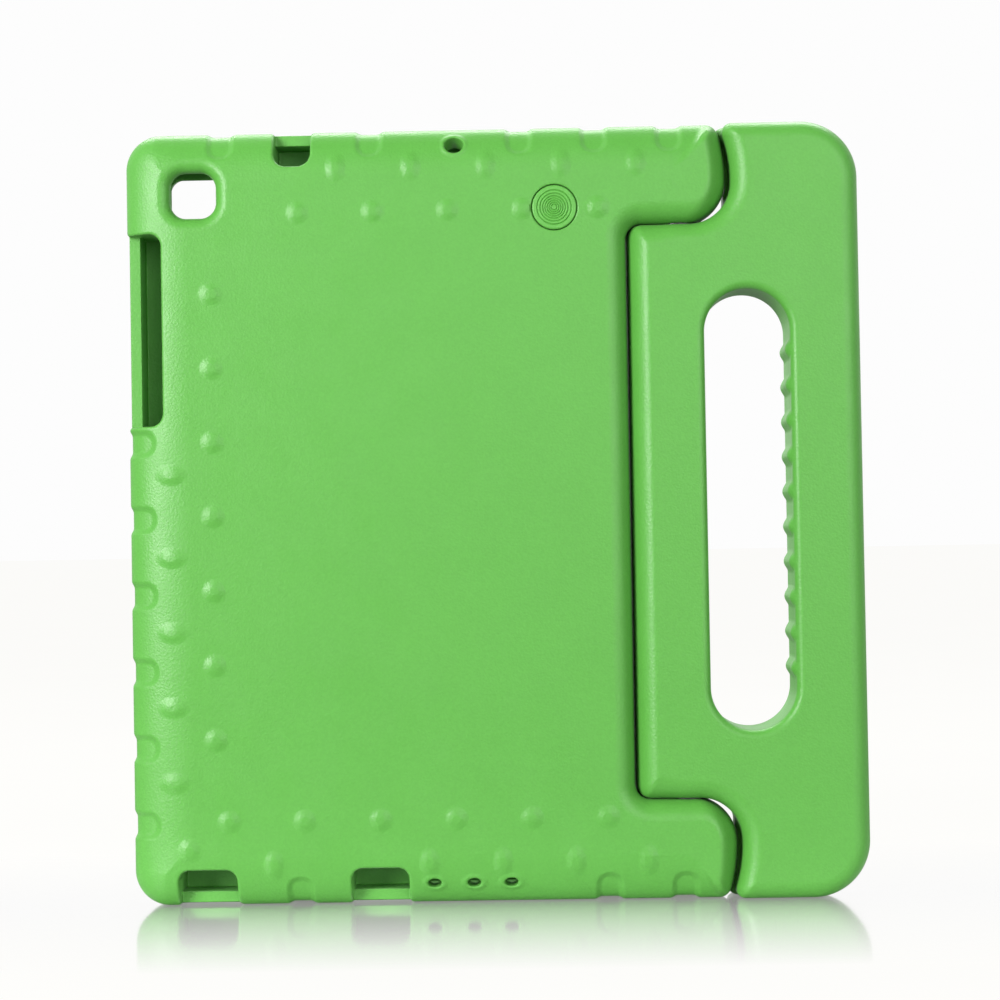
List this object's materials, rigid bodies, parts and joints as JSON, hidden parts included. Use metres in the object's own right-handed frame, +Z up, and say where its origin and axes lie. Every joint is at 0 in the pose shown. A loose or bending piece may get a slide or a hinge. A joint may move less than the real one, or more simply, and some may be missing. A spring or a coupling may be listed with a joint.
{
  "type": "tablet case",
  "caption": "Thick moulded foam case for a ten-inch tablet, with port cut-outs, raised dots and a swinging carry handle that doubles as a stand.",
  "frame": {"origin": "middle of the base of the whole case as it stands on its short edge", "axes": "+Z up along the tablet's long side, +X towards the carry handle, +Y out of the tablet's screen; the dotted back faces -Y"},
  "size_m": [0.258, 0.027, 0.272],
  "materials": {
    "green_foam": "fine pebbled moulded foam with a soft sheen",
    "disc_foam": "smooth moulded foam with raised rings",
    "dark_nylon": "moulded nylon",
    "black_rubber": "smooth nitrile",
    "white_acetal": "turned acetal",
    "spring_steel": "stamped and blackened"
  },
  "bodies": {
    "case": {"body_shell": "green_foam", "ring_disc": "disc_foam", "arm_bush_top": "dark_nylon", "arm_bush_bottom": "dark_nylon", "friction_ring_top": "black_rubber", "friction_ring_bottom": "black_rubber", "thrust_washer_top": "white_acetal", "thrust_washer_bottom": "white_acetal"},
    "carry_handle": {"handle": "green_foam", "hinge_pin_top": "dark_nylon", "hinge_pin_bottom": "dark_nylon", "retaining_clip_top": "spring_steel", "retaining_clip_bottom": "spring_steel", "handle_anchor_top": "dark_nylon", "handle_anchor_bottom": "dark_nylon"}
  },
  "joints": [
    {"name": "handle_swing", "type": "hinge", "parent": "case", "child": "carry_handle", "pos_m": [0.0663, 0.0005, 0.136], "axis": [0, 0, -1], "range_deg": [-100, 100]}
  ]
}
